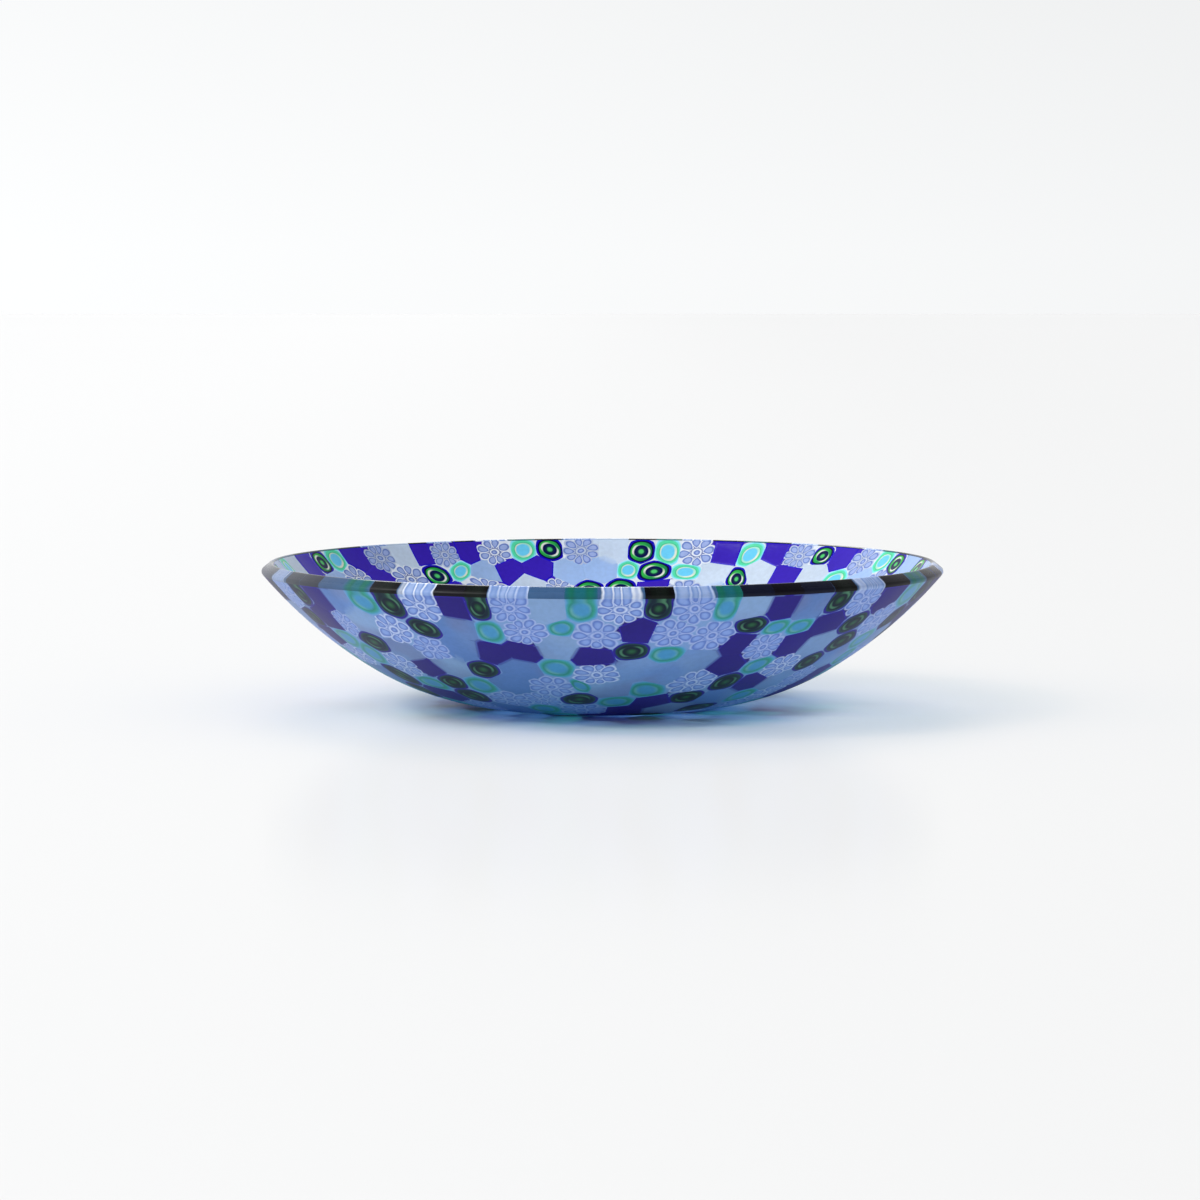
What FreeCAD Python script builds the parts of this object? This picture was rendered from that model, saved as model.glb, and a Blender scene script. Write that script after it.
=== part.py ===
import FreeCAD, Part
import math
import os
import random

# A mosaic glass bowl. Slices of patterned glass cane stand edge to edge in one wall of even
# thickness, from the ground rim down to the ground base. Each slice is its own solid, and
# neighbours meet on shared flat seams. Millimetres and degrees; +Z is up, the bowl stands on
# z = 0 and its axis is Z. Bearings are measured round Z from -Y, positive towards +X.

# --- The wall: two tangent arcs turned round Z, then the flat ground rim square to the wall ---
RIM_RADIUS = 80.33  # to the rim's outer corner; the bowl is 160 across once that is rounded
RIM_EASE = 0.8  # radius that both corners of the rim are rounded to
BASE_RADIUS = 20.0
LOWER_ARC = 66.0
UPPER_ARC_START = math.radians(32.0)
RIM_SLOPE = math.radians(50.3)
WALL = 3.5

KNEE_RADIUS = BASE_RADIUS + LOWER_ARC * math.sin(UPPER_ARC_START)
KNEE_HEIGHT = LOWER_ARC * (1 - math.cos(UPPER_ARC_START))
UPPER_ARC = (RIM_RADIUS - KNEE_RADIUS) / (math.sin(RIM_SLOPE) - math.sin(UPPER_ARC_START))

# --- The slices ---
# Half the width that a slice of each cane takes when it is free to spread.
CANE_RADIUS = {"F": 5.4, "C": 4.6, "P": 4.7, "W": 4.6, "D": 3.9, "A": 3.9}
CANE_NAME = {
    "F": "flower",
    "C": "cobalt",
    "P": "pale_blue",
    "W": "ice_white",
    "D": "dark_eye",
    "A": "aqua_eye",
}
SMALL = 0.72  # a small letter is the same cane drawn thinner
REACH_OF_SEAMS = 30.0  # slices further apart than this never touch
BLANK_HALF_WIDTH = 13.0
BLANK_HALF_DEPTH = 5.0
FILL_WANDER = 0.6  # how far a slice of an even run strays from its place
SEED = 11
TOUCHING = 1e-6  # points nearer than this are the same point

# Each course is one ring of slices: its name, its distance from the axis at mid-wall, the
# slices placed one by one as cane letter and bearing (then /distance where it strays from the
# ring), and runs of evenly spaced slices, each from a bearing to a bearing.
COURSES = (
    (
        "rim_course",
        76.3,
        "F-68 D-61.5 C-55.5 P-50 A-43.5 D-36.8 F-30.8 C-25.2 D-20.4 F-15 W-9.2 A-3.3 F3 D9 F15"
        " A20.2 W25.5 C30.8 P36.8 D42.5 F49 C56.5 A64 D71 C77 F83.5 P90 D97 P103.5 D109.5 A115"
        " F121.5 C128 D133.5 F139.5 C144.5 A150 C155.7 F161.3 A166.8 D172.7 W178 F184 D190"
        " A195.7 F201.5 C206.8 F212 C216.3 W221.3 F227 C233.5 A240 D245 C250.8 W257 A262"
        " P267.5 D273.5 C279.5 D286",
        (),
    ),
    (
        "upper_course",
        71.2,
        "D-66.5/71 C-59.5/71.5 f-54/71 W-47.5/72 F-40.6/69.6 D-32.8/71 P-26.2/71.3 A-19.8/70.6"
        " F-13.8/71 a-7.3/72.2 F-0.8/70.3 C6.2/71.5 F12.3/70.6 F20/69.3 D26.5/72.6 a31.8/71"
        " a37.1/71 C44/71.3 D51.3/71 F59.5/71 D67.5/70.3"
        " P118.5/72 A126/71.7 W133/72 C140/72 W146.3/72 D150.8/69.7 W156.5/70.7 A162/71.2"
        " D169.3/71 a175/71.8 P180.5/72 P187 C193/72 C199.5/72 P204.5/71.5 A209.7/73 D216/72"
        " F223/71 C230.5/71 F237.3/71.5 P244",
        (
            (74.0, 112.5, "CFAPDWF"),
            (250.5, 286.5, "DFCAWP"),
        ),
    ),
    (
        "shoulder_course",
        65.8,
        "A-60/66 D-50/65.8 P-42.5/64 F-35/65.2 P-27.5/66.2 C-21.6/65 C-15.4/66 W-8.6/67"
        " C-1.8/64.4 D5.5/66 A12.3/65.6 W19.5/63.6 C25.5/67.2 F32/66 C38.5/66.4 W45.8/66.1"
        " D53.8/66 A63/65.4 P70"
        " C168.5/66.5 D176/66.5 D183/66.5 f189.5/68 W195.5/68 F206/67.5",
        (
            (77.0, 161.5, "DFPACFWADCPF"),
            (214.0, 293.0, "CADWFPCADFC"),
        ),
    ),
    (
        "middle_course",
        60.3,
        "F-65.5/60.5 A-56/62 F-48.5/58.8 C-41/59 W-34/60.5 D-25.5/59.5 P-17.5/60 A-9.3/61"
        " F-1/58.6 P6.8/60.4 P13.8/58.6 C26.3/61.3 A34.7/60.5 F41.5/59 D49.5/59.7 P58/60.4"
        " A66/59.5",
        (
            (73.5, 286.0, "FDCWAPFDCAFWDPCAFDWCPAFDCWA"),
        ),
    ),
    (
        "lower_course",
        54.0,
        "D-56.5/54.3 A-46.3/52.6 D-38.6/54 A-30.3/52.6 P-21.5/54.6 F-12.2/53.4 a-5/54.5"
        " W2.2/52.6 A10.2/52.3 F21/55.2 D30/54.6 C38/54 P45.5/53.6 F54.5/53.6",
        (
            (63.5, 294.5, "CAFDWPCFADFPCWADFCPAWFDCAP"),
        ),
    ),
    (
        "turn_course",
        46.6,
        "C-49/46 D-37.5/47 F-26.5/45.8 f-16.5/47 D-6.5/47.6 A4/46.2 C13.6/45 D22.8/48"
        " P32/47 A41.5/47",
        (
            (51.5, 300.0, "FCDAWFPDCFAWDPCFADCWFPAD"),
        ),
    ),
    (
        "floor_ring",
        38.6,
        "P-31 A-19/40 F-6/39.4 C7/38.8 W19.5/40",
        (
            (32.0, 316.5, "DFACPFDWACFPDAWFCDPAF"),
        ),
    ),
    ("floor_ring", 30.2, "", ((0.0, 342.0, "CDFAPWDFCADPFWACDFPA"),)),
    ("centre", 21.6, "", ((8.0, 340.0, "FACDWFPADCFAWD"),)),
    ("centre", 12.8, "", ((20.0, 335.0, "DPAFCADW"),)),
    ("centre", 4.6, "", ((50.0, 290.0, "FAC"),)),
)


def wall_place(distance):
    """Height and slope of mid-wall at a distance from the axis."""
    if distance <= BASE_RADIUS:
        return WALL / 2, 0.0
    lower_radius = LOWER_ARC - WALL / 2
    slope = math.asin((distance - BASE_RADIUS) / lower_radius)
    if slope <= UPPER_ARC_START:
        return LOWER_ARC - lower_radius * math.cos(slope), slope
    upper_radius = UPPER_ARC - WALL / 2
    centre_distance = KNEE_RADIUS - UPPER_ARC * math.sin(UPPER_ARC_START)
    centre_height = KNEE_HEIGHT + UPPER_ARC * math.cos(UPPER_ARC_START)
    slope = math.asin((distance - centre_distance) / upper_radius)
    return centre_height - upper_radius * math.cos(slope), slope


def wall_point(slope, depth):
    """Distance and height of the wall where it has a slope, at a depth in from the outside."""
    if slope <= UPPER_ARC_START:
        radius = LOWER_ARC - depth
        return BASE_RADIUS + radius * math.sin(slope), LOWER_ARC - radius * math.cos(slope)
    radius = UPPER_ARC - depth
    distance = KNEE_RADIUS + radius * math.sin(slope) - UPPER_ARC * math.sin(UPPER_ARC_START)
    height = KNEE_HEIGHT - radius * math.cos(slope) + UPPER_ARC * math.cos(UPPER_ARC_START)
    return distance, height


def make_wall():
    """The whole wall: its section turned once round Z."""

    def spot(slope, depth):
        distance, height = wall_point(slope, depth)
        return FreeCAD.Vector(distance, 0, height)

    def side(depth):
        knee = spot(UPPER_ARC_START, depth)
        low = Part.Arc(spot(0, depth), spot(UPPER_ARC_START / 2, depth), knee)
        halfway = spot((UPPER_ARC_START + RIM_SLOPE) / 2, depth)
        high = Part.Arc(knee, halfway, spot(RIM_SLOPE, depth))
        flat = Part.LineSegment(FreeCAD.Vector(0, 0, depth), spot(0, depth))
        return [flat.toShape(), low.toShape(), high.toShape()]

    rim = Part.LineSegment(spot(RIM_SLOPE, 0), spot(RIM_SLOPE, WALL))
    axis = Part.LineSegment(FreeCAD.Vector(0, 0, 0), FreeCAD.Vector(0, 0, WALL))
    edges = side(0) + [rim.toShape()] + side(WALL) + [axis.toShape()]
    section = Part.Face(Part.Wire(Part.__sortEdges__(edges)))
    wall = section.revolve(FreeCAD.Vector(0, 0, 0), FreeCAD.Vector(0, 0, 1), 360)
    level_edges = [edge for edge in wall.Edges if edge.BoundBox.ZLength < TOUCHING]
    rim_height = spot(RIM_SLOPE, 0).z
    corners = [edge for edge in level_edges if edge.BoundBox.ZMin > rim_height - TOUCHING]
    return wall.makeFillet(RIM_EASE, corners)


class Slice:
    """One slice of cane: where it stands in the wall and how wide it wants to be."""

    def __init__(self, course, letter, bearing, distance):
        self.course = course
        self.cane = letter.upper()
        self.radius = CANE_RADIUS[self.cane] * (SMALL if letter.islower() else 1.0)
        height, slope = wall_place(distance)
        turn = math.radians(bearing)
        outward = FreeCAD.Vector(math.sin(turn), -math.cos(turn), 0)
        up = FreeCAD.Vector(0, 0, 1)
        self.place = outward * distance + up * height
        self.along = FreeCAD.Vector(math.cos(turn), math.sin(turn), 0)
        self.inward = up * math.cos(slope) - outward * math.sin(slope)

    def blank(self):
        """The faces of an oversize block round the slice, square to the wall."""
        climb = self.inward.cross(self.along)
        axes = (self.along, climb, self.inward)
        sizes = (BLANK_HALF_WIDTH, BLANK_HALF_WIDTH, BLANK_HALF_DEPTH)
        faces = []
        for index in range(3):
            first = axes[index] * sizes[index]
            second = axes[index - 1] * sizes[index - 1]
            third = axes[index - 2] * sizes[index - 2]
            for sign in (-1, 1):
                middle = self.place + first * sign
                loop = [middle + second + third, middle + second - third]
                loop += [middle - second - third, middle - second + third]
                faces.append(loop)
        return faces

    def seam_with(self, other):
        """The plane between two slices, nearer to the thinner one, as its normal and level."""
        gap = other.place - self.place
        bias = self.radius ** 2 - other.radius ** 2
        level = (other.place.dot(other.place) - self.place.dot(self.place) + bias) / 2
        span = gap.Length
        return gap / span, level / span


def trim(faces, normal, level):
    """A convex block's faces after everything beyond a plane is ground away."""
    kept = []
    edge = []
    for loop in faces:
        left = []
        for here, there in zip(loop, loop[1:] + loop[:1]):
            rise_here = here.dot(normal) - level
            rise_there = there.dot(normal) - level
            if rise_here <= 0:
                left.append(here)
            if rise_here * rise_there < 0:
                crossing = here + (there - here) * (rise_here / (rise_here - rise_there))
                left.append(crossing)
                if all(crossing.distanceToPoint(point) > TOUCHING for point in edge):
                    edge.append(crossing)
        if len(left) > 2:
            kept.append(left)
    if len(edge) > 2:
        kept.append(round_loop(edge, normal))
    return kept


def round_loop(points, normal):
    """The corners of a convex face in order round its middle."""
    middle = FreeCAD.Vector()
    for point in points:
        middle += point / len(points)
    first = (points[0] - middle).normalize()
    second = normal.cross(first)

    def turn(point):
        arm = point - middle
        return math.atan2(arm.dot(second), arm.dot(first))

    return sorted(points, key=turn)


def block_solid(faces):
    """A closed solid from the loops of corners of its flat faces."""
    sides = [Part.Face(Part.makePolygon(loop + loop[:1])) for loop in faces]
    shell = Part.Shell(sides)
    shell.sewShape()
    solid = Part.Solid(shell)
    solid.fix(TOUCHING, TOUCHING, TOUCHING)
    return solid


def cut_slice(wall, piece, pieces):
    """The part of the wall nearer to one slice than to any other."""
    faces = piece.blank()
    for other in pieces:
        if other is piece:
            continue
        if other.place.distanceToPoint(piece.place) < REACH_OF_SEAMS:
            normal, level = piece.seam_with(other)
            faces = trim(faces, normal, level)
    return wall.common(block_solid(faces)).Solids[0]


def lay_out():
    """Every slice of the bowl, course by course."""
    wander = random.Random(SEED)
    pieces = []
    for course, ring, placed, runs in COURSES:
        for word in placed.split():
            bearing, _, distance = word[1:].partition("/")
            pieces.append(Slice(course, word[0], float(bearing), float(distance or ring)))
        for start, end, letters in runs:
            for index, letter in enumerate(letters):
                bearing = start + (end - start) * index / (len(letters) - 1)
                bearing += math.degrees(wander.uniform(-FILL_WANDER, FILL_WANDER) / ring)
                distance = ring + wander.uniform(-FILL_WANDER, FILL_WANDER)
                pieces.append(Slice(course, letter, bearing, distance))
    return pieces


def main():
    wall = make_wall()
    pieces = lay_out()
    nodes = {}
    for piece in pieces:
        name = piece.course + "_" + CANE_NAME[piece.cane] + "_slices"
        nodes.setdefault(name, []).append(cut_slice(wall, piece, pieces))
    os.makedirs("parts", exist_ok=True)
    for name, solids in nodes.items():
        Part.makeCompound(solids).exportStep("parts/" + name + ".step")


main()
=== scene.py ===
import math

import bpy
import numpy as np
from mathutils.geometry import convex_hull_2d
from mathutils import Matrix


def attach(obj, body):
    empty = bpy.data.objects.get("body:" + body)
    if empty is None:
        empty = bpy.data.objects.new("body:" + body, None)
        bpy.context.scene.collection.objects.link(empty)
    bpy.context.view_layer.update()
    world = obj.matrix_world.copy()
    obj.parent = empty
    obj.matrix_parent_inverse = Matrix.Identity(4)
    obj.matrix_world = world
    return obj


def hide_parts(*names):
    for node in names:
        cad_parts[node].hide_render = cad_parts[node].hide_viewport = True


# The looks of a mosaic glass bowl. Every slice of cane in the CAD model becomes a fine mesh of
# the same shape that carries its own round coordinates, and the layers of its cane (rings,
# petals, casing) are drawn in those coordinates. Metres throughout; bearings from -Y.

MM = 0.001

# The wall, as in the CAD model: a flat base, then two tangent arcs, then the square rim with
# its corners rounded.
RIM_RADIUS = 80.33 * MM
RIM_EASE = 0.8 * MM
BASE_RADIUS = 20.0 * MM
LOWER_ARC = 66.0 * MM
UPPER_ARC_START = math.radians(32.0)
RIM_SLOPE = math.radians(50.3)
WALL = 3.5 * MM
KNEE_RADIUS = BASE_RADIUS + LOWER_ARC * math.sin(UPPER_ARC_START)
KNEE_HEIGHT = LOWER_ARC * (1 - math.cos(UPPER_ARC_START))
UPPER_ARC = (RIM_RADIUS - KNEE_RADIUS) / (math.sin(RIM_SLOPE) - math.sin(UPPER_ARC_START))
UPPER_CENTRE = (
    KNEE_RADIUS - UPPER_ARC * math.sin(UPPER_ARC_START),
    KNEE_HEIGHT + UPPER_ARC * math.cos(UPPER_ARC_START),
)
# The slopes at which the outside and the inside of the wall start to turn over into the rim.
RIM_START = (
    RIM_SLOPE - math.asin(RIM_EASE / (UPPER_ARC - RIM_EASE)),
    RIM_SLOPE - math.asin(RIM_EASE / (UPPER_ARC - WALL + RIM_EASE)),
)

RIM_NEAR = 5e-4  # a slope this near to where the rim starts counts as there

# How finely a slice is meshed, and how its faces are finished.
SPOKES = 44
RINGS = (0.14, 0.28, 0.42, 0.55, 0.67, 0.78, 0.87, 0.94, 0.985, 1.0)
RIM_ROWS = (0.0, 0.25, 0.5, 0.75, 1.0, 3.0, 3.25, 3.5, 3.75, 4.0)  # rounded to 1 and from 3
SEAM_DIP = (0.01 * MM, 0.06 * MM)  # the seams' depth outside, where it is ground, and inside
GROUND_AWAY = (0.0 * MM, 0.8 * MM)  # how much of a rim slice the flat rim took off
SQUARENESS = 0.34  # how far the skin of a cane gave way to its neighbours
BENT_OVER = 0.5  # height in a rim slice's cane above which it runs straight up over the rim
TOUCHING = 1e-6  # corners nearer than this are the same corner
SAME_ANGLE = 1e-3  # spokes closer than this are one spoke
EDGE_ON = 1e-3  # a side facing a direction less than this is never met in it
TOP_CORNERS = 1.0 * MM  # corners this near to a slice's top lie along the rim
PAST_EDGE = 1.0 * MM  # how far past its edge a slice looks for its neighbour
LIFTS = 4  # steps that bring a point to its depth in the wall
SHARP = math.radians(50)  # faces that meet at more than this stay a crisp edge
SEED = 5

SOLID_CANES = ("cobalt", "pale_blue", "ice_white")
CANES = SOLID_CANES + ("dark_eye", "aqua_eye", "flower")

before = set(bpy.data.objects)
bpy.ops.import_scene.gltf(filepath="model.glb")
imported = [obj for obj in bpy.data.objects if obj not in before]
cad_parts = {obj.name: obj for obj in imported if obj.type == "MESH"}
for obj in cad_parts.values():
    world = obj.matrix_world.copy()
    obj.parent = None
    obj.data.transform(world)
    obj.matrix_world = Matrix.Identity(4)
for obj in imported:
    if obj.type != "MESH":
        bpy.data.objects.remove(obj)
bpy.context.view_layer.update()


# ---------------------------------------------------------------- shape of the slices


def wall_slope(points):
    """Slope of the wall at each point, as if the upper arc went all the way down."""
    distance = np.hypot(points[:, 0], points[:, 1])
    return np.arctan2(distance - UPPER_CENTRE[0], UPPER_CENTRE[1] - points[:, 2])


def depth_in_wall(points):
    """How far in from the outside of the wall each point lies."""
    distance = np.hypot(points[:, 0], points[:, 1])
    height = points[:, 2]
    lower = LOWER_ARC - np.hypot(distance - BASE_RADIUS, height - LOWER_ARC)
    upper = UPPER_ARC - np.hypot(distance - UPPER_CENTRE[0], height - UPPER_CENTRE[1])
    depth = np.where(wall_slope(points) > UPPER_ARC_START, upper, lower)
    return np.where(distance < BASE_RADIUS, height, depth)


def split_solids(mesh):
    """The corner points of each closed solid in a CAD node, in the order they are stored."""
    mesh.calc_loop_triangles()
    spots = np.array([v.co for v in mesh.vertices])
    keys = [tuple(k) for k in np.round(spots / (0.0005 * MM)).astype(int)]
    solids = []
    corners = set()
    open_edges = {}
    for triangle in mesh.loop_triangles:
        a, b, c = triangle.vertices
        corners.update((a, b, c))
        for start, end in ((a, b), (b, c), (c, a)):
            edge = (keys[start], keys[end])
            back = (keys[end], keys[start])
            if open_edges.get(back):
                open_edges[back] -= 1
                if not open_edges[back]:
                    del open_edges[back]
            else:
                open_edges[edge] = open_edges.get(edge, 0) + 1
        if not open_edges:
            solids.append(spots[sorted(corners)])
            corners = set()
    return solids


class GlassSlice:
    """A slice's own axes (along the course, up the wall, in through it) and its outlines."""

    def __init__(self, cane, corners, ground_away):
        self.cane = cane
        depth = depth_in_wall(corners)
        slope = wall_slope(corners)
        outside = corners[(depth < WALL * 0.05) & (slope < RIM_START[0] + RIM_NEAR)]
        inside = corners[(depth > WALL * 0.95) & (slope < RIM_START[1] + RIM_NEAR)]
        self.centre = (outside.mean(0) + inside.mean(0)) / 2
        radial = np.array([self.centre[0], self.centre[1], 0.0])
        radial /= np.linalg.norm(radial)
        self.inward = inside.mean(0) - outside.mean(0)
        self.along = np.cross(radial, [0, 0, 1.0])
        self.inward -= self.along * self.inward.dot(self.along)
        self.inward /= np.linalg.norm(self.inward)
        self.climb = np.cross(self.inward, self.along)
        self.at_rim = bool(np.any(slope > RIM_START[0] + RIM_NEAR))
        self.outlines = [self.outline(outside), self.outline(inside)]
        self.wholes = [before_grinding(o, ground_away * self.at_rim) for o in self.outlines]
        middle = sum(outline_centre(o) for o in self.wholes) / 2
        self.centre += self.along * middle[0] + self.climb * middle[1]
        self.outlines = [o - middle for o in self.outlines]
        self.wholes = [o - middle for o in self.wholes]
        self.radius = np.mean(reach(self.wholes[0], np.arange(-3.1, 3.1, 0.2)))

    def outline(self, points):
        """Corners of one face in the slice's plane, in order of their angle."""
        arms = points - self.centre
        flat = np.column_stack((arms @ self.along, arms @ self.climb))
        flat = flat[convex_hull_2d([tuple(p / MM) for p in flat])]
        angles = np.arctan2(flat[:, 1], flat[:, 0])
        return flat[np.argsort(angles)]

    def lift(self, flat, depth):
        """Points of the slice's plane moved along its normal to a depth in the wall."""
        points = self.centre + np.outer(flat[:, 0], self.along) + np.outer(flat[:, 1], self.climb)
        for _ in range(LIFTS):
            points += np.outer(depth - depth_in_wall(points), self.inward)
        return points


def rim_section(row):
    """Distance and height of the rim's section: rounded, flat, and rounded into the inside."""
    if row <= 1:
        middle, start = (RIM_START[0], UPPER_ARC - RIM_EASE), RIM_START[0]
        turn = start + row * (math.pi / 2 + RIM_SLOPE - RIM_START[0])
    elif row >= 3:
        middle = (RIM_START[1], UPPER_ARC - WALL + RIM_EASE)
        turn = RIM_START[1] + math.pi - (4 - row) * (math.pi / 2 - RIM_SLOPE + RIM_START[1])
    else:
        out = rim_section(1)
        across = rim_section(3)
        share = (row - 1) / 2
        return tuple(a + (b - a) * share for a, b in zip(out, across))
    slope, radius = middle
    distance = UPPER_CENTRE[0] + radius * math.sin(slope) + RIM_EASE * math.sin(turn)
    height = UPPER_CENTRE[1] - radius * math.cos(slope) - RIM_EASE * math.cos(turn)
    return distance, height


def rim_ladder(outer, inner, at_rim):
    """Rows of points over the rim, from those of the outside face to those of the inside."""
    rows = []
    for row in RIM_ROWS:
        spots = outer + (inner - outer) * row / 4
        distance, height = rim_section(row)
        spots[at_rim, :2] *= (distance / np.hypot(*spots[at_rim, :2].T))[:, None]
        spots[at_rim, 2] = height
        rows.append(spots)
    return rows


def before_grinding(outline, taken_off):
    """The outline with its top corners as high as they were before the rim was ground."""
    whole = outline.copy()
    whole[whole[:, 1] > whole[:, 1].max() - TOP_CORNERS, 1] += taken_off
    return whole


def outline_centre(outline):
    """Middle of the area of an outline."""
    ahead = np.roll(outline, -1, axis=0)
    cross = outline[:, 0] * ahead[:, 1] - ahead[:, 0] * outline[:, 1]
    return ((outline + ahead) * cross[:, None]).sum(0) / (3 * cross.sum())


def reach(outline, angles):
    """How far the edge of a convex outline is from its centre at each angle."""
    best = np.full(len(angles), np.inf)
    cosines, sines = np.cos(angles), np.sin(angles)
    for a, b in zip(outline, np.roll(outline, -1, axis=0)):
        side = b - a
        length = np.hypot(*side)
        if length < TOUCHING:
            continue
        normal = np.array([side[1], -side[0]]) / length
        facing = normal[0] * cosines + normal[1] * sines
        met = facing > EDGE_ON
        far = np.where(met, normal.dot(a) / np.maximum(facing, EDGE_ON), np.inf)
        best = np.minimum(best, far)
    return best


def oval_reach(outline, directions):
    """How far the oval that fills an outline best is from its centre in each direction."""
    ahead = np.roll(outline, -1, axis=0)
    spread = np.zeros((2, 2))
    total = 0.0
    for a, b in zip(outline, ahead):
        area = (a[0] * b[1] - b[0] * a[1]) / 2
        spread += area / 12 * (np.outer(a, a) + np.outer(b, b) + np.outer(a + b, a + b))
        total += area
    narrow = np.linalg.inv(4 * spread / total)
    return 1 / np.sqrt(np.einsum("ij,jk,ik->i", directions, narrow, directions))


def spoke_angles(outlines):
    """Evenly spread angles, and those of every corner."""
    even = list(np.arange(SPOKES) * 2 * math.pi / SPOKES - math.pi)
    corners = [math.atan2(y, x) for outline in outlines for x, y in outline]
    angles = sorted(even + corners)
    kept = [angles[0]]
    for angle in angles[1:]:
        if angle - kept[-1] > SAME_ANGLE:
            kept.append(angle)
    return np.array(kept)


def cane_place(own, side, angles, ring):
    """Where a ring of points lies in the cane, whose layers are oval and its skin less so."""
    directions = np.column_stack((np.cos(angles), np.sin(angles)))
    oval = oval_reach(own.wholes[side], directions)
    skin = reach(own.wholes[side], angles)
    pressed = oval + SQUARENESS * ring ** 2 * (skin - oval)
    disc = directions * (reach(own.outlines[side], angles) * ring / pressed)[:, None]
    if own.at_rim and not side:
        disc[:, 1] = np.minimum(disc[:, 1], BENT_OVER)
    return disc


def smooth_step(low, high, value):
    share = min(1.0, max(0.0, (value - low) / (high - low)))
    return share * share * (3 - 2 * share)


def slice_mesh(own, others, draw):
    """Points, faces and what each point knows of the glass, for one closed slice."""
    angles = spoke_angles(own.outlines)
    count = len(angles)
    directions = np.column_stack((np.cos(angles), np.sin(angles)))
    points, canes = [], []
    for side, outline in enumerate(own.outlines):
        edge = reach(outline, angles)
        points.append(own.lift(np.zeros((1, 2)), side * WALL))
        canes.append(np.zeros((1, 3)))
        for ring in RINGS:
            dip = SEAM_DIP[side] * smooth_step(0.90, 1.0, ring)
            depth = WALL - dip if side else dip
            points.append(own.lift(directions * (edge * ring)[:, None], depth))
            disc = cane_place(own, side, angles, ring)
            canes.append(np.column_stack((disc, np.full(count, ring))))
    faces = []
    per_side = 1 + len(RINGS) * count
    following = [(k + 1) % count for k in range(count)]
    for side in (0, 1):
        first = side * per_side + 1
        turn = 1 if side else -1
        for k, n in enumerate(following):
            faces.append((first - 1, first + k, first + n)[::turn])
            for low in range(first, first + (len(RINGS) - 1) * count, count):
                faces.append((low + k, low + count + k, low + count + n, low + n)[::turn])
    past = np.tile(glass_beyond(own, directions, others), (len(RINGS), 1))
    past = np.vstack((np.zeros((1, 3)), past))
    points = np.vstack(points)
    known = np.column_stack((np.vstack(canes), np.vstack((past, past)),
                             np.repeat((0.0, 1.0), per_side)))
    rows = [np.arange(per_side - count, per_side), np.arange(2 * per_side - count, 2 * per_side)]
    at_rim = wall_slope(points[rows[0]]) > RIM_START[0] - 3 * RIM_NEAR
    if own.at_rim:
        for row, spots in zip(RIM_ROWS, rim_ladder(points[rows[0]], points[rows[-1]], at_rim)):
            rows.insert(-1, np.arange(len(points), len(points) + count))
            points = np.vstack((points, spots))
            outer, inner = known[rows[0]], known[rows[-1]]
            known = np.vstack((known, outer + (inner - outer) * row / 4))
    cut = [0.0] * len(faces)
    for low, high in zip(rows, rows[1:]):
        faces += [(low[k], low[n], high[n], high[k]) for k, n in enumerate(following)]
        cut += [float(at_rim[k] and at_rim[n]) for k, n in enumerate(following)]
    knows = {
        "cane": known[:, :3],
        "beyond": known[:, 3:6],
        "side": known[:, 6],
        "chance": np.tile(draw.random(3), (len(points), 1)),
    }
    return points, faces, knows, np.array(cut)


def glass_beyond(own, directions, others):
    """Which solid cane, if any, lies past the edge of a slice in each direction."""
    angles = np.arctan2(directions[:, 1], directions[:, 0])
    edge = reach(own.outlines[0], angles) + PAST_EDGE
    flat = directions * edge[:, None]
    spots = own.centre + np.outer(flat[:, 0], own.along) + np.outer(flat[:, 1], own.climb)
    centres = np.array([o.centre for o in others])
    radii = np.array([o.radius for o in others])
    gaps = ((spots[:, None, :] - centres[None, :, :]) ** 2).sum(2) - radii ** 2
    gaps[:, [o is own for o in others]] = np.inf
    nearest = gaps.argmin(1)
    solid = np.array([[others[i].cane == kind for kind in SOLID_CANES] for i in nearest], float)
    solid[wall_slope(spots) > RIM_SLOPE] = 0.0
    return solid


def node_piece(name, slices, others, material, draw):
    """One Blender piece with every slice of a CAD node."""
    points, faces, cuts, known = [], [], [], {}
    total = 0
    for own in slices:
        slice_points, slice_faces, knows, cut = slice_mesh(own, others, draw)
        points.append(slice_points)
        faces += [tuple(total + index for index in face) for face in slice_faces]
        cuts.append(cut)
        for key, values in knows.items():
            known.setdefault(key, []).append(values)
        total += len(slice_points)
    mesh = bpy.data.meshes.new(name)
    mesh.from_pydata(np.vstack(points).tolist(), [], faces)
    mesh.polygons.foreach_set("use_smooth", [True] * len(mesh.polygons))
    for key, values in known.items():
        add_attribute(mesh, key, "POINT", np.concatenate(values))
    add_attribute(mesh, "cut", "FACE", np.concatenate(cuts))
    mesh.set_sharp_from_angle(angle=SHARP)
    mesh.materials.append(material)
    piece = bpy.data.objects.new(name, mesh)
    bpy.context.scene.collection.objects.link(piece)
    return piece


def add_attribute(mesh, name, domain, values):
    kind, field = ("FLOAT", "value") if values.ndim == 1 else ("FLOAT_VECTOR", "vector")
    layer = mesh.attributes.new(name, kind, domain)
    layer.data.foreach_set(field, np.asarray(values, np.float32).ravel())


# ---------------------------------------------------------------- materials


def glass_colour(code):
    """A colour from its six-digit code, as light."""
    parts = [int(code[i : i + 2], 16) / 255 for i in (0, 2, 4)]
    light = [p / 12.92 if p <= 0.04045 else ((p + 0.055) / 1.055) ** 2.4 for p in parts]
    return (*light, 1.0)


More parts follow.
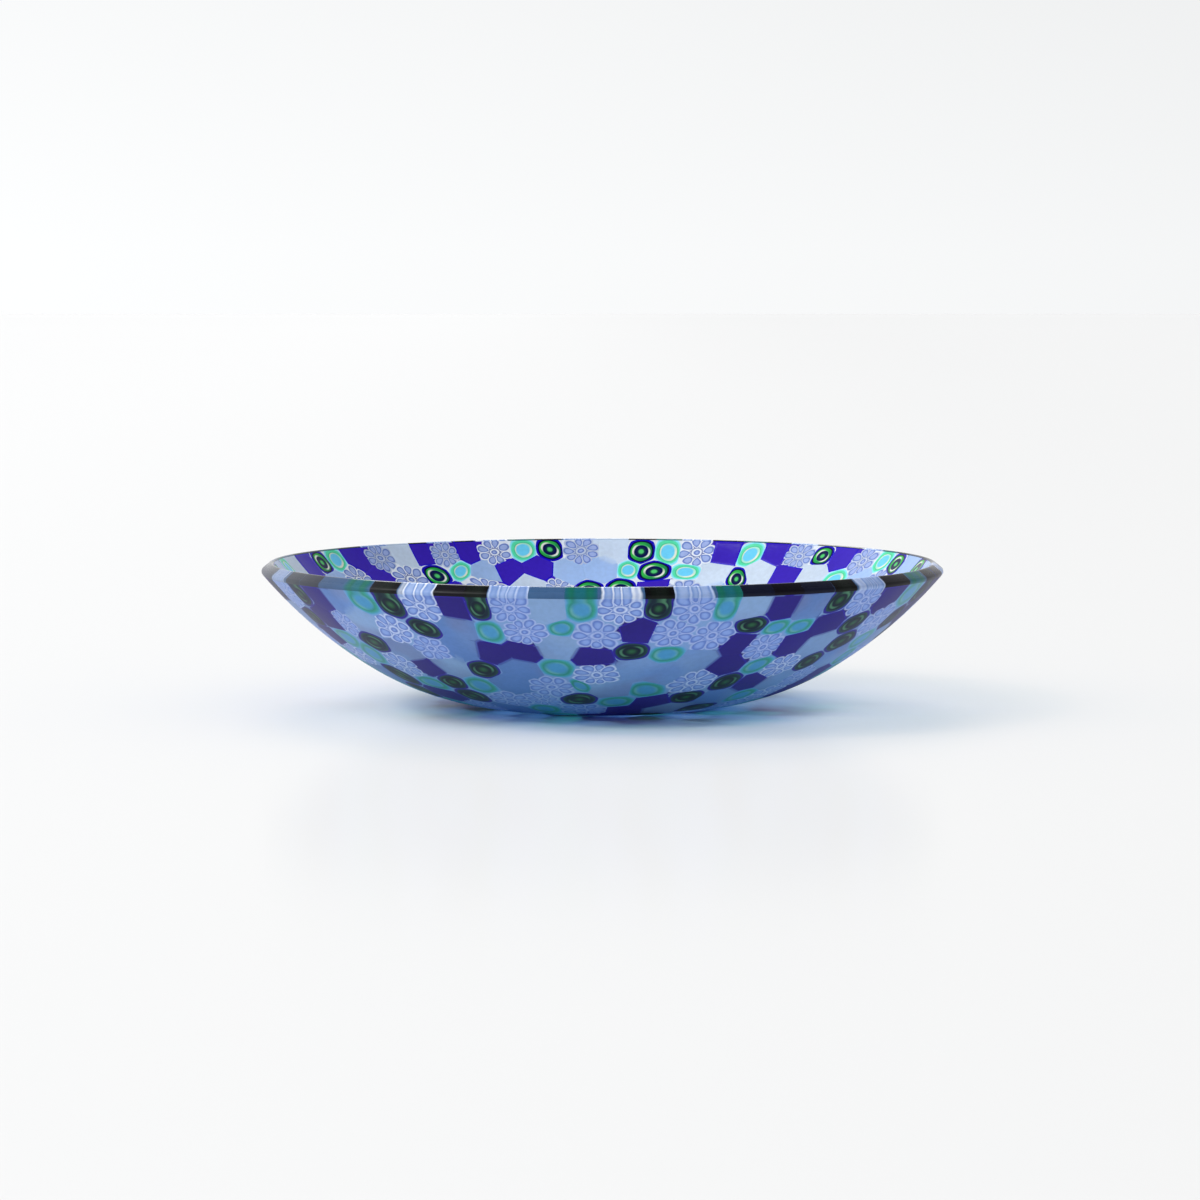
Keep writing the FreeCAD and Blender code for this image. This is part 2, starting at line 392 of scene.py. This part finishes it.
class Graph:
    """The nodes of a material or of the world, written as sums."""

    def __init__(self, owner):
        owner.use_nodes = True
        self.owner = owner
        self.tree = owner.node_tree
        self.tree.nodes.clear()

    def node(self, kind, **settings):
        made = self.tree.nodes.new(kind)
        for key, value in settings.items():
            setattr(made, key, value)
        return made

    def feed(self, socket, value):
        if isinstance(value, bpy.types.NodeSocket):
            self.tree.links.new(value, socket)
        else:
            socket.default_value = value

    def sum(self, operation, a, b=0.0, c=0.0):
        made = self.node("ShaderNodeMath", operation=operation)
        for socket, value in zip(made.inputs, (a, b, c)):
            self.feed(socket, value)
        return made.outputs[0]

    def fade(self, value, start, end, low=0.0, high=1.0):
        """low below start, high above end, smooth between."""
        made = self.node("ShaderNodeMapRange", interpolation_type="SMOOTHSTEP")
        for socket, fed in zip(made.inputs[:5], (value, start, end, low, high)):
            self.feed(socket, fed)
        return made.outputs["Result"]

    def mix(self, share, a, b):
        made = self.node("ShaderNodeMix", data_type="RGBA")
        self.feed(made.inputs[0], share)
        self.feed(made.inputs[6], a)
        self.feed(made.inputs[7], b)
        return made.outputs[2]

    def blend(self, share, a, b):
        """Two shaders in one, with share of the second."""
        made = self.node("ShaderNodeMixShader")
        for socket, value in zip(made.inputs, (share, a, b)):
            self.feed(socket, value)
        return made.outputs[0]

    def brighten(self, colour, amount):
        """A colour times a number."""
        made = self.node("ShaderNodeVectorMath", operation="SCALE")
        self.feed(made.inputs[0], colour)
        self.feed(made.inputs["Scale"], amount)
        return made.outputs[0]

    def split(self, name):
        made = self.node("ShaderNodeSeparateXYZ")
        attribute = self.node("ShaderNodeAttribute", attribute_name=name)
        self.feed(made.inputs[0], attribute.outputs["Vector"])
        return made.outputs

    def noise(self, vector, scale, detail=2.0):
        made = self.node("ShaderNodeTexNoise", noise_dimensions="3D")
        self.feed(made.inputs["Vector"], vector)
        made.inputs["Scale"].default_value = scale
        made.inputs["Detail"].default_value = detail
        return made.outputs["Fac"]


# Each glass has three colours: seen from the bright inside, through the satin outside, and in the
# flat rim, where the eye looks along the wall and the glass is deepest. The outside colours are
# darker partly from the satin and partly as painted shade.
SOLID_GLASS = {
    "cobalt": ("3e23be", "2b1f82", "0b0714"),
    "pale_blue": ("a8c6f2", "6086c4", "30547e"),
    "ice_white": ("d8e5f3", "88a8d2", "42648e"),
}
COBALT_SKIN = ("1408d6", "3024a8", "06040c")
CASING = ("eef3fa", "82a4d6", "42648e")
RIM_SHADE = "10142a"  # painted shade: the near-black that pale glass in the rim turns to at its right end
DARK_SHEEN = "625e72"  # painted sheen: what dark glass fades to where the satin outside turns away
PALE_SHEEN = "a4b0ca"  # painted sheen: what pale glass fades to there
RIM_HIGHLIGHT = "747a86"  # painted highlight: the grey the flat rim turns to at its left end, on the side of the key light
SMOKE = "7880ac"  # greyer clouds in the pale glasses, seen through the satin
CAST = "8ce6f4"  # leans the light that falls through the lower wall towards aqua
FAINT_SHADE = (0.87, 0.91, 0.92, 1.0)  # how the upper wall dims a lamp
LOW_PAINTED_SHADE = (0.42, 0.60, 0.58, 1.0)  # painted shade: what the outside is multiplied by down at the floor
INNER_GLOW = 0.10  # share of the glass that passes light on from its far side
SATIN = 0.44  # roughness outside; the inside and the rim are smoother by the next two
INSIDE_SMOOTHER = 0.36
RIM_SMOOTHER = 0.06
RIPPLE = 0.0001  # depth in metres of the slow ripple in the surface


class Cane(Graph):
    """What every cane shares: its coordinates, its neighbours and how its glass takes light."""

    def __init__(self, name, wobble=0.03):
        super().__init__(bpy.data.materials.new(name))
        across, up, self.edge = self.split("cane")
        self.beyond = self.split("beyond")
        self.chance = self.split("chance")
        self.inside = self.node("ShaderNodeAttribute", attribute_name="side").outputs["Fac"]
        self.cut = self.node("ShaderNodeAttribute", attribute_name="cut").outputs["Fac"]
        self.place = self.node("ShaderNodeTexCoord").outputs["Object"]
        spot = self.node("ShaderNodeSeparateXYZ")
        self.feed(spot.inputs[0], self.place)
        self.east, self.north, self.height = spot.outputs
        sway = self.sum("SUBTRACT", self.noise(self.place, 260.0), 0.5)
        lean = self.sum("SUBTRACT", self.noise(self.place, 190.0, 1.0), 0.5)
        self.across = self.sum("MULTIPLY_ADD", sway, wobble * 2, across)
        up = self.sum("MULTIPLY_ADD", lean, wobble * 2, up)
        self.up = self.between(self.cut, up, BENT_OVER)
        self.radius = self.length(self.across, self.up)
        self.edge = self.between(self.cut, self.edge, 0.0)
        self.turn = self.sum("ARCTAN2", self.up, self.across)
        self.blur = self.sum("MULTIPLY_ADD", self.inside, -1.6, 2.6)

    def between(self, share, a, b):
        """The number share of the way from a to b."""
        made = self.node("ShaderNodeMix", data_type="FLOAT")
        for socket, value in zip(made.inputs[:1] + made.inputs[2:4], (share, a, b)):
            self.feed(socket, value)
        return made.outputs[0]

    def length(self, a, b):
        return self.sum("SQRT", self.sum("MULTIPLY_ADD", a, a, self.sum("MULTIPLY", b, b)))

    def paint(self, colours):
        """One glass in its three colours."""
        inside, outside, rim = (glass_colour(code) for code in colours)
        return self.mix(self.cut, self.mix(self.inside, outside, inside), rim)

    def pale_rim(self, kind):
        """Pale glass in the rim, with painted light: its bright inside colour at the back of the
        rim, slate in front, and a painted shade of near-black at the right.
        """
        # painted shade: the rim turns near-black towards the right, away from the key light
        deep = self.sum("MULTIPLY", self.fade(self.east, 0.012, 0.026), self.cut)
        colour = self.mix(deep, self.paint(SOLID_GLASS[kind]), glass_colour(RIM_SHADE))
        # painted light: the back of the rim takes the bright inside colour
        back = self.sum("MULTIPLY", self.fade(self.north, 0.01, 0.05, 0.0, 0.75), self.cut)
        return self.mix(back, colour, glass_colour(SOLID_GLASS[kind][0]))

    def solid(self, kind):
        """A cane of one colour, paler and deeper in slow clouds."""
        cloud = self.noise(self.place, 55.0, 1.0)
        if kind == "cobalt":
            colour = self.paint(SOLID_GLASS[kind])
        else:
            other = {"pale_blue": "ice_white", "ice_white": "pale_blue"}[kind]
            drift = self.fade(self.noise(self.place, 38.0, 1.0), 0.44, 0.66, 0.0, 0.6)
            drift = self.sum("MULTIPLY", drift, self.sum("MULTIPLY_ADD", self.inside, -0.8, 1.0))
            colour = self.mix(drift, self.pale_rim(kind), self.pale_rim(other))
            smoke = self.fade(self.noise(self.place, 71.0, 1.0), 0.48, 0.70, 0.0, 0.5)
            smoke = self.sum("MULTIPLY", smoke, self.sum("SUBTRACT", 1.0, self.inside))
            smoke = self.between(self.cut, smoke, 0.0)
            colour = self.mix(smoke, colour, glass_colour(SMOKE))
        return self.brighten(colour, self.fade(cloud, 0.3, 0.7, 0.94, 1.06))

    def ground(self):
        """What shows past the edge of a round cane: the solid cane next to it, or casing."""
        colour = self.paint(CASING)
        for share, kind in zip(self.beyond, SOLID_CANES):
            colour = self.mix(share, colour, self.solid(kind))
        return colour

    def within(self, value, limit, soft):
        """1 where value is under limit, fading over soft, more so through the satin."""
        half = self.sum("MULTIPLY", self.blur, soft)
        return self.fade(value, self.sum("SUBTRACT", limit, half),
                         self.sum("ADD", half, limit), 1.0, 0.0)

    def cased(self, colour, limit, soft=0.03):
        """The cane's own glass in a rounded shape, then pale casing, then its neighbour."""
        colour = self.mix(self.within(self.radius, limit, soft), self.paint(CASING), colour)
        return self.mix(self.within(self.radius, limit + 0.07, soft), self.ground(), colour)

    def melted(self, colour, neighbour, share):
        """The cane's glass, which the satin outside blurs into its neighbour at the edge."""
        satin = self.sum("MULTIPLY", self.sum("SUBTRACT", 1.0, self.inside), share)
        near = self.fade(self.edge, 0.86, 1.0, 0.0, 0.5)
        return self.mix(self.sum("MULTIPLY", near, satin), colour, neighbour)

    def layers(self, colour, rings):
        """Rings from the outside in: each has an outer radius, a softness and its glass."""
        for outer, soft, glass in rings:
            colour = self.mix(self.within(self.radius, outer, soft), colour, self.paint(glass))
        return colour

    def swing(self, turns, low, high):
        """A number that swings from low to high and back as the angle goes round."""
        angle = self.sum("MULTIPLY_ADD", self.chance[0], 1.2, self.turn)
        wave = self.sum("COSINE", self.sum("MULTIPLY", angle, turns))
        return self.fade(wave, -0.9, 0.9, low, high)

    def spokes(self, turned):
        """A place that changes fast round the cane and slowly along its radius."""
        made = self.node("ShaderNodeCombineXYZ")
        self.feed(made.inputs[0], self.sum("MULTIPLY", turned, 2.3))
        self.feed(made.inputs[1], self.sum("MULTIPLY", self.radius, 3.0))
        self.feed(made.inputs[2], self.sum("MULTIPLY", self.chance[1], 20.0))
        return made.outputs[0]

    def finish(self, colour, sheen_colour=DARK_SHEEN, strongest_sheen=0.75):
        """Glossy inside, ground to a satin outside, with lamps shining through the wall."""
        grain = self.noise(self.place, 900.0, 3.0)
        colour = self.brighten(colour, self.fade(grain, 0.2, 0.8, 0.95, 1.05))
        # painted shade low on the outside, painted sheen where it turns away, painted highlight at
        # the rim's left end
        colour = self.painted_light(colour, sheen_colour, strongest_sheen)
        whole = self.blend(self.node("ShaderNodeLightPath").outputs["Is Shadow Ray"],
                           self.lit_glass(colour, grain), self.lamp_light(colour))
        out = self.node("ShaderNodeOutputMaterial")
        self.feed(out.inputs["Surface"], whole)
        return self.owner

    def painted_light(self, colour, sheen_colour, strongest_sheen):
        """Painted light: painted shade deepening the outside low down, a painted sheen where the
        satin outside turns away, and a painted highlight of grey at the rim's left end.
        """
        outside = self.sum("SUBTRACT", 1.0, self.inside)
        # painted shade: the outside is multiplied darker low down, towards the floor
        low = self.node("ShaderNodeMix", data_type="RGBA", blend_type="MULTIPLY")
        low_shade = self.fade(self.height, 0.002, 0.022, 0.8, 0.0)
        self.feed(low.inputs[0], self.sum("MULTIPLY", low_shade, outside))
        self.feed(low.inputs[6], colour)
        low.inputs[7].default_value = LOW_PAINTED_SHADE
        # painted sheen: the colour fades to a grey haze where the satin outside turns away
        turned = self.node("ShaderNodeLayerWeight")
        turned.inputs["Blend"].default_value = 0.5
        painted_sheen = self.fade(turned.outputs["Facing"], 0.55, 0.98, 0.0, strongest_sheen)
        painted_sheen = self.sum("MULTIPLY", painted_sheen, self.fade(self.height, 0.008, 0.024))
        painted_sheen = self.sum("MULTIPLY", painted_sheen, outside)
        colour = self.mix(painted_sheen, low.outputs[2], glass_colour(sheen_colour))
        # painted highlight: the flat rim turns grey at its left end
        rim_highlight = self.fade(self.east, -0.075, -0.045, 0.4, 0.0)
        return self.mix(self.sum("MULTIPLY", rim_highlight, self.cut), colour, glass_colour(RIM_HIGHLIGHT))

    def lit_glass(self, colour, grain):
        """The glass as it is seen: a skin, and a little light from the far side."""
        surface = self.node("ShaderNodeBsdfPrincipled")
        self.feed(surface.inputs["Base Color"], colour)
        rough = self.sum("MULTIPLY_ADD", self.inside, -INSIDE_SMOOTHER, SATIN)
        rough = self.sum("MULTIPLY_ADD", self.cut, -RIM_SMOOTHER, rough)
        self.feed(surface.inputs["Roughness"], self.sum("MULTIPLY_ADD", grain, 0.06, rough))
        surface.inputs["IOR"].default_value = 1.5
        surface.inputs["Specular IOR Level"].default_value = 0.15
        bump = self.node("ShaderNodeBump")
        bump.inputs["Strength"].default_value = 0.2
        bump.inputs["Distance"].default_value = RIPPLE
        self.feed(bump.inputs["Height"], self.noise(self.place, 420.0, 2.0))
        self.feed(surface.inputs["Normal"], bump.outputs[0])
        through = self.node("ShaderNodeBsdfTranslucent")
        self.feed(through.inputs["Color"], colour)
        return self.blend(INNER_GLOW, surface.outputs[0], through.outputs[0])

    def lamp_light(self, colour):
        """What a lamp's light turns to on its way through the wall, tinted most low down."""
        thin = self.node("ShaderNodeGamma")
        self.feed(thin.inputs["Color"], self.mix(0.15, colour, glass_colour(CAST)))
        self.feed(thin.inputs["Gamma"], self.fade(self.height, 0.001, 0.010, 1.0, 0.12))
        lamps = self.node("ShaderNodeBsdfTransparent")
        faint = self.fade(self.height, 0.004, 0.014, 0.0, 0.75)
        self.feed(lamps.inputs["Color"], self.mix(faint, thin.outputs[0], FAINT_SHADE))
        return lamps.outputs[0]


def cobalt():
    """One deep blue, brighter in a thin skin wherever another glass begins."""
    cane = Cane("cobalt_glass")
    other = cane.within(cane.beyond[0], 0.5, 0.1)
    skin = cane.sum("MULTIPLY", cane.fade(cane.edge, 0.88, 0.99), other)
    colour = cane.mix(skin, cane.solid("cobalt"), cane.paint(COBALT_SKIN))
    pale_next = cane.sum("ADD", cane.beyond[1], cane.beyond[2])
    return cane.finish(cane.melted(colour, cane.ground(), pale_next))


def pale_solid(kind, neighbour):
    """One pale glass, which runs softly into the other pale glass where they meet."""
    cane = Cane(kind + "_glass")
    meets = cane.beyond[SOLID_CANES.index(neighbour)]
    share = cane.sum("MULTIPLY", cane.fade(cane.edge, 0.62, 1.0, 0.0, 0.5), meets)
    colour = cane.mix(share, cane.solid(kind), cane.solid(neighbour))
    return cane.finish(cane.melted(colour, cane.solid("cobalt"), cane.beyond[0]), PALE_SHEEN, 0.5)


def dark_eye():
    """Blue, navy, green, white and navy layers round a dark core with a green heart."""
    cane = Cane("dark_eye_glass")
    colour = cane.paint(("1206c0", "2c2092", "08060e"))
    colour = cane.mix(cane.within(cane.radius, 0.83, 0.02), colour,
                      cane.paint(("04023c", "1c4442", "060608")))
    green = cane.mix(cane.swing(1, 0.0, 1.0), cane.paint(("34c44c", "142c38", "0a120e")),
                     cane.paint(("1c8a50", "121e34", "08100c")))
    colour = cane.mix(cane.within(cane.radius, 0.71, 0.03), colour, green)
    bright = cane.swing(2, 0.0, 1.0)
    arc = cane.within(cane.radius, cane.sum("MULTIPLY_ADD", bright, 0.08, 0.53), 0.02)
    colour = cane.mix(arc, colour, cane.mix(
        bright, cane.paint(("50c470", "16343a", "101814")),
        cane.paint(("f0f5e6", "4c8264", "101814")),
    ))
    colour = cane.layers(colour, (
        (0.48, 0.025, ("060a50", "0e1c30", "060608")),
        (0.31, 0.04, ("0c2c44", "12302c", "08100c")),
        (0.17, 0.06, ("54d474", "2a6240", "0a120e")),
    ))
    return cane.finish(cane.cased(colour, 0.97, 0.018))


def aqua_eye():
    """An aqua case, green and cream layers, and a sky blue core."""
    cane = Cane("aqua_eye_glass")
    colour = cane.layers(cane.paint(("8ef2ff", "5aa6da", "1c6478")), (
        (0.85, 0.06, ("5ce8b0", "3a9c8a", "167060")),
    ))
    inner = cane.swing(1, 0.57, 0.66)
    dark = cane.within(cane.radius, cane.sum("ADD", inner, 0.06), 0.03)
    colour = cane.mix(dark, colour, cane.paint(("44cc90", "2e887c", "146a58")))
    cream = cane.within(cane.radius, inner, 0.035)
    pale = cane.mix(cane.swing(2, 0.0, 1.0), cane.paint(("b4f2dc", "4499a8", "1a6c78")),
                    cane.paint(("f6f8de", "68b0b0", "1a6c78")))
    colour = cane.mix(cream, colour, pale)
    colour = cane.layers(colour, ((0.49, 0.05, ("74daff", "4c98c8", "1a6c78")),))
    return cane.finish(cane.cased(colour, 0.98, 0.05), PALE_SHEEN, 0.5)


def petal_ring(cane, turned, middle, length):
    """0 in the middle of each petal of a ring and 1 on its edge."""
    aside = cane.sum("MULTIPLY_ADD", cane.sum("FRACT", turned), 2.0, -1.0)
    own = cane.node("ShaderNodeTexWhiteNoise", noise_dimensions="1D")
    cane.feed(own.inputs["W"], cane.sum("FLOOR", turned))
    size = cane.sum("MULTIPLY_ADD", own.outputs["Value"], length * 0.35, length)
    out = cane.sum("DIVIDE", cane.sum("SUBTRACT", cane.radius, middle), size)
    return cane.length(aside, out)


def flower():
    """A ring of petals, blue loops with white outlines, and spokes to a small blue centre."""
    cane = Cane("flower_glass", wobble=0.12)
    petals = cane.sum("ADD", 8.0, cane.sum("ROUND", cane.chance[2]))
    slot = cane.sum("DIVIDE", petals, 2 * math.pi)
    start = cane.sum("MULTIPLY", cane.chance[1], 9.0)
    turned = cane.sum("MULTIPLY_ADD", cane.turn, slot, start)
    petal = petal_ring(cane, turned, 0.64, 0.29)
    crisp = cane.fade(cane.chance[0], 0.5, 0.7)
    deep = cane.paint(("7088cc", "5272c4", "7898d4"))
    core = cane.paint(("a8bae8", "8eaae4", "a2bae6"))
    line = cane.mix(crisp, cane.paint(("c8d2e6", "aec0ea", "bccef0")),
                    cane.paint(("f0f4fa", "ccdaf6", "e4ecfa")))
    gap = cane.mix(crisp, cane.paint(("8c9cc8", "7290d4", "88a4da")),
                   cane.paint(("6070ae", "6a88ce", "84a0d8")))
    spoke = cane.fade(cane.noise(cane.spokes(turned), 1.0, 1.0), 0.44, 0.66, 0.0, 0.8)
    field = cane.mix(spoke, gap, line)
    colour = cane.mix(cane.within(cane.radius, 0.66, 0.03), cane.ground(), field)
    colour = cane.mix(cane.within(petal, 1.10, 0.06), colour, line)
    colour = cane.mix(cane.within(petal, 0.86, 0.06), colour, deep)
    colour = cane.mix(cane.within(petal, 0.60, 0.12), colour, core)
    colour = cane.mix(cane.within(cane.radius, 0.31, 0.03), colour, gap)
    colour = cane.mix(cane.within(cane.radius, 0.26, 0.02), colour, line)
    colour = cane.mix(cane.within(cane.radius, 0.16, 0.02), colour, deep)
    colour = cane.mix(cane.within(cane.radius, 0.08, 0.03), colour, core)
    return cane.finish(colour, PALE_SHEEN, 0.4)


MATERIALS = {
    "cobalt": cobalt(),
    "pale_blue": pale_solid("pale_blue", "ice_white"),
    "ice_white": pale_solid("ice_white", "pale_blue"),
    "dark_eye": dark_eye(),
    "aqua_eye": aqua_eye(),
    "flower": flower(),
}


# ---------------------------------------------------------------- the bowl


def make_bowl():
    draw = np.random.default_rng(SEED)
    slices = {}
    for node in sorted(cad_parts):
        cane = next(kind for kind in CANES if node.endswith("_" + kind + "_slices"))
        solids = split_solids(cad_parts[node].data)
        slices[node] = [GlassSlice(cane, corners, draw.uniform(*GROUND_AWAY)) for corners in solids]
    everyone = [own for group in slices.values() for own in group]
    for node, group in slices.items():
        cane = group[0].cane
        name = node.replace("_slices", "_murrine")
        piece = node_piece(name, group, everyone, MATERIALS[cane], draw)
        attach(piece, "root")
        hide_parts(node)


# ---------------------------------------------------------------- floor, light and camera


FLOOR_HALF = 6.0
# The floor runs from FLOOR_LEFT to FLOOR_RIGHT: painted light, lighter on the left, the side of the
# key light.
FLOOR_LEFT = (0.885, 0.885, 0.885, 1)
FLOOR_RIGHT = (0.825, 0.825, 0.825, 1)
FLOOR_GLOSS = 0.14  # share of the floor's light that is a soft reflection
FLOOR_ROUGHNESS = 0.17
STUDIO_WHITE = (0.985, 0.995, 1.0, 1)
SKY_STRENGTH = 0.47  # what the backdrop gives matt surfaces
BACKDROP_MIDDLE = 0.968  # how bright the backdrop itself looks, straight ahead
BACKDROP_ACROSS = -0.30  # how that changes towards the right
BACKDROP_UP = -0.75  # and above the horizon
# Each lamp's name, where its light comes from, its strength and its width in degrees.
LAMPS = (
    ("soft_key", (-1.0, -0.3, 1.0), 1.6, 44),
    ("key_heart", (-1.0, -0.3, 1.0), 0.5, 9),
    ("back_light", (-0.1, 1.0, 0.85), 1.0, 24),
)
LENS = 127.8
SENSOR = 36.0
CAMERA_PLACE = (-0.00056, -1.0, 0.1074)
CAMERA_DOWN = 4.72  # degrees below level


def make_floor():
    half = FLOOR_HALF
    mesh = bpy.data.meshes.new("studio_floor")
    corners = [(-half, -half, 0), (half, -half, 0), (half, half, 0), (-half, half, 0)]
    mesh.from_pydata(corners, [], [(0, 1, 2, 3)])
    graph = Graph(bpy.data.materials.new("floor_white"))
    spot = graph.node("ShaderNodeSeparateXYZ")
    graph.feed(spot.inputs[0], graph.node("ShaderNodeTexCoord").outputs["Object"])
    # painted light: the floor is lighter to the left and darker to the right
    across = graph.fade(spot.outputs[0], -0.35, 0.35)
    matt = graph.node("ShaderNodeBsdfDiffuse")
    graph.feed(matt.inputs["Color"], graph.mix(across, FLOOR_LEFT, FLOOR_RIGHT))
    sheen = graph.node("ShaderNodeBsdfAnisotropic")
    sheen.inputs["Roughness"].default_value = FLOOR_ROUGHNESS
    out = graph.node("ShaderNodeOutputMaterial")
    graph.feed(out.inputs["Surface"], graph.blend(FLOOR_GLOSS, matt.outputs[0], sheen.outputs[0]))
    mesh.materials.append(graph.owner)
    floor = bpy.data.objects.new("studio_floor", mesh)
    bpy.context.scene.collection.objects.link(floor)


def glow(graph, strength):
    """White light of a given strength from all round."""
    made = graph.node("ShaderNodeBackground")
    made.inputs["Color"].default_value = STUDIO_WHITE
    graph.feed(made.inputs["Strength"], strength)
    return made.outputs[0]


def make_light():
    world = bpy.data.worlds.new("studio")
    bpy.context.scene.world = world
    graph = Graph(world)
    toward = graph.node("ShaderNodeSeparateXYZ")
    graph.feed(toward.inputs[0], graph.node("ShaderNodeTexCoord").outputs["Generated"])
    across = graph.sum("MULTIPLY_ADD", toward.outputs[0], BACKDROP_ACROSS, BACKDROP_MIDDLE)
    above = graph.sum("MAXIMUM", toward.outputs[2], 0.0)
    backdrop = glow(graph, graph.sum("MULTIPLY_ADD", above, BACKDROP_UP, across))
    matt_ray = graph.node("ShaderNodeLightPath").outputs["Is Diffuse Ray"]
    out = graph.node("ShaderNodeOutputWorld")
    graph.feed(out.inputs["Surface"], graph.blend(matt_ray, backdrop, glow(graph, SKY_STRENGTH)))
    for lamp in LAMPS:
        make_lamp(*lamp)


def make_lamp(name, place, energy, width):
    """A far lamp of a given angular width, in degrees, that shines on the bowl."""
    data = bpy.data.lights.new(name, "SUN")
    data.angle = math.radians(width)
    data.energy = energy
    lamp = bpy.data.objects.new(name, data)
    lamp.location = place
    lamp.rotation_euler = (-lamp.location).to_track_quat("-Z", "Y").to_euler()
    bpy.context.scene.collection.objects.link(lamp)


def make_camera():
    data = bpy.data.cameras.new("camera")
    data.sensor_width = SENSOR
    data.lens = LENS
    camera = bpy.data.objects.new("camera", data)
    camera.location = CAMERA_PLACE
    camera.rotation_euler = (math.radians(90 - CAMERA_DOWN), 0, 0)
    bpy.context.scene.collection.objects.link(camera)
    bpy.context.scene.camera = camera
    bpy.context.scene.view_settings.view_transform = "Standard"


make_bowl()
make_floor()
make_light()
make_camera()
